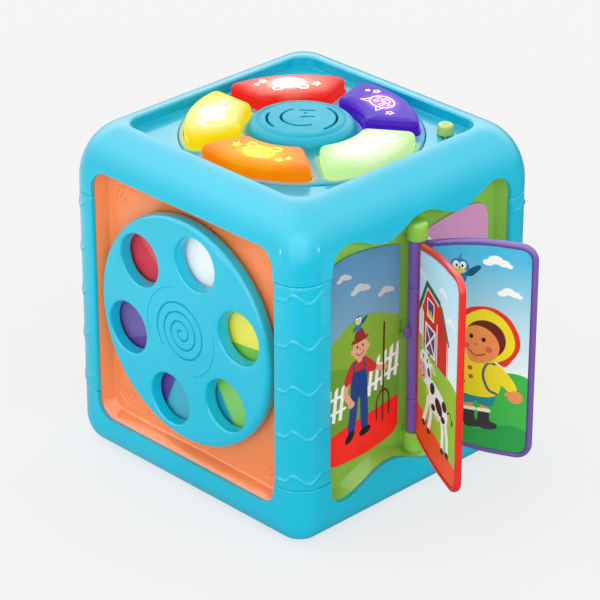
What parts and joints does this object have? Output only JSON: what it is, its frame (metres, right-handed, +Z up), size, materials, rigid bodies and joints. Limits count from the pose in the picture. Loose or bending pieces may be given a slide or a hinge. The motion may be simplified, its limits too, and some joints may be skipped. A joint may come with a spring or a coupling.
{
  "type": "toy activity cube",
  "caption": "Baby activity cube: light-up keys on top, a turning window wheel, a flip book with two hinged pages, a shape-sorting side with blocks, and a door to the block bin.",
  "frame": {"origin": "centre of the underside of the base, on the table", "axes": "+Z up; -Y is the window-wheel side, +X the flip-book side, +Y the sorting side, -X the bin-door side"},
  "size_m": [0.2629, 0.2, 0.2196],
  "materials": {
    "blue_shell": "satin moulded plastic",
    "orange_panel": "satin moulded plastic",
    "green_panel": "satin moulded plastic",
    "yellow_panel": "satin moulded plastic",
    "purple_panel": "satin moulded plastic",
    "red_trim": "gloss moulded plastic",
    "print": "printed and laminated sheet",
    "key_green": "translucent, lit from inside",
    "key_purple": "translucent, lit from inside",
    "key_red": "translucent, lit from inside",
    "key_yellow": "translucent, lit from inside",
    "key_orange": "translucent, lit from inside",
    "clear_lamp": "clear epoxy",
    "steel": "zinc plated",
    "board": "solder resist",
    "silicone": "soft silicone",
    "black_plastic": "black",
    "cell": "wrapped cell",
    "cable_red": "insulated wire",
    "cable_black": "insulated wire",
    "white_bin": "moulded plastic",
    "block_red": "gloss moulded plastic",
    "block_purple": "gloss moulded plastic",
    "block_green": "gloss moulded plastic"
  },
  "bodies": {
    "housing": {"base_cover": "blue_shell", "base_screw_back_left": "steel", "base_screw_back_right": "steel", "base_screw_front_left": "steel", "base_screw_front_right": "steel", "battery_1": "cell", "battery_2": "cell", "battery_3": "cell", "battery_cable": "cable_red", "battery_contact_back": "steel", "battery_contact_front": "steel", "block_bin": "white_bin", "book_panel": "green_panel", "colour_disc": "print", "corner_post_back_left": "blue_shell", "corner_post_back_right": "blue_shell", "corner_post_front_left": "blue_shell", "corner_post_front_right": "blue_shell", "door_panel": "purple_panel", "door_pin": "steel", "farm_label": "print", "key_deck": "blue_shell", "key_membrane": "silicone", "led_green": "clear_lamp", "led_orange": "clear_lamp", "led_purple": "clear_lamp", "led_red": "clear_lamp", "led_yellow": "clear_lamp", "main_board": "board", "page_pin": "steel", "path_label": "print", "sorting_panel": "yellow_panel", "speaker": "black_plastic", "speaker_cable": "cable_black", "switch_body": "black_plastic", "top_cover": "blue_shell", "wheel_panel": "orange_panel"},
    "wheel": {"wheel": "blue_shell", "wheel_washer": "steel", "wheel_screw": "steel"},
    "red_page": {"red_page": "red_trim", "red_page_front_label": "print", "red_page_back_label": "print", "red_page_sleeve": "purple_panel"},
    "purple_page": {"purple_page": "purple_panel", "purple_page_front_label": "print", "purple_page_back_label": "print"},
    "switch_knob": {"switch_knob": "green_panel"},
    "battery_door": {"battery_door": "blue_shell", "battery_door_screw": "steel"},
    "block_door": {"block_door": "orange_panel"},
    "block_round": {"block_round": "block_red"},
    "block_square": {"block_square": "block_purple"},
    "block_triangle": {"block_triangle": "block_green"},
    "key_green": {"key_green": "key_green"},
    "key_purple": {"key_purple": "key_purple"},
    "key_red": {"key_red": "key_red"},
    "key_yellow": {"key_yellow": "key_yellow"},
    "key_orange": {"key_orange": "key_orange"}
  },
  "joints": [
    {"name": "wheel_spin", "type": "hinge", "parent": "housing", "child": "wheel", "pos_m": [0, -0.095, 0.109], "axis": [0, -1, 0], "continuous": true},
    {"name": "red_page_hinge", "type": "hinge", "parent": "housing", "child": "red_page", "pos_m": [0.096, 0, 0.10725], "axis": [0, 0, 1], "range_deg": [-58.5, 12.5]},
    {"name": "purple_page_hinge", "type": "hinge", "parent": "housing", "child": "purple_page", "pos_m": [0.096, 0, 0.10725], "axis": [0, 0, 1], "range_deg": [-13, 58]},
    {"name": "key_green_press", "type": "slide", "parent": "housing", "child": "key_green", "axis": [0, 0, -1], "range_m": [0, 0.0025], "stiffness_N_per_m": 300, "springref_m": -0.001},
    {"name": "key_purple_press", "type": "slide", "parent": "housing", "child": "key_purple", "axis": [0, 0, -1], "range_m": [0, 0.0025], "stiffness_N_per_m": 300, "springref_m": -0.001},
    {"name": "key_red_press", "type": "slide", "parent": "housing", "child": "key_red", "axis": [0, 0, -1], "range_m": [0, 0.0025], "stiffness_N_per_m": 300, "springref_m": -0.001},
    {"name": "key_yellow_press", "type": "slide", "parent": "housing", "child": "key_yellow", "axis": [0, 0, -1], "range_m": [0, 0.0025], "stiffness_N_per_m": 300, "springref_m": -0.001},
    {"name": "key_orange_press", "type": "slide", "parent": "housing", "child": "key_orange", "axis": [0, 0, -1], "range_m": [0, 0.0025], "stiffness_N_per_m": 300, "springref_m": -0.001},
    {"name": "switch_slide", "type": "slide", "parent": "housing", "child": "switch_knob", "axis": [-0.7071, 0.7071, 0], "range_m": [-0.004, 0.004]},
    {"name": "battery_door_lift", "type": "slide", "parent": "housing", "child": "battery_door", "axis": [0, 0, -1], "range_m": [0, 0.02]},
    {"name": "block_door_hinge", "type": "hinge", "parent": "housing", "child": "block_door", "pos_m": [-0.0924, -0.0475, 0.108], "axis": [0, 0, 1], "range_deg": [0, 105]},
    {"name": "block_round_slide", "type": "slide", "parent": "housing", "child": "block_round", "axis": [0, 1, 0], "range_m": [0, 0.06]},
    {"name": "block_square_slide", "type": "slide", "parent": "housing", "child": "block_square", "axis": [0, 1, 0], "range_m": [0, 0.06]},
    {"name": "block_triangle_slide", "type": "slide", "parent": "housing", "child": "block_triangle", "axis": [0, 1, 0], "range_m": [0, 0.06]}
  ]
}
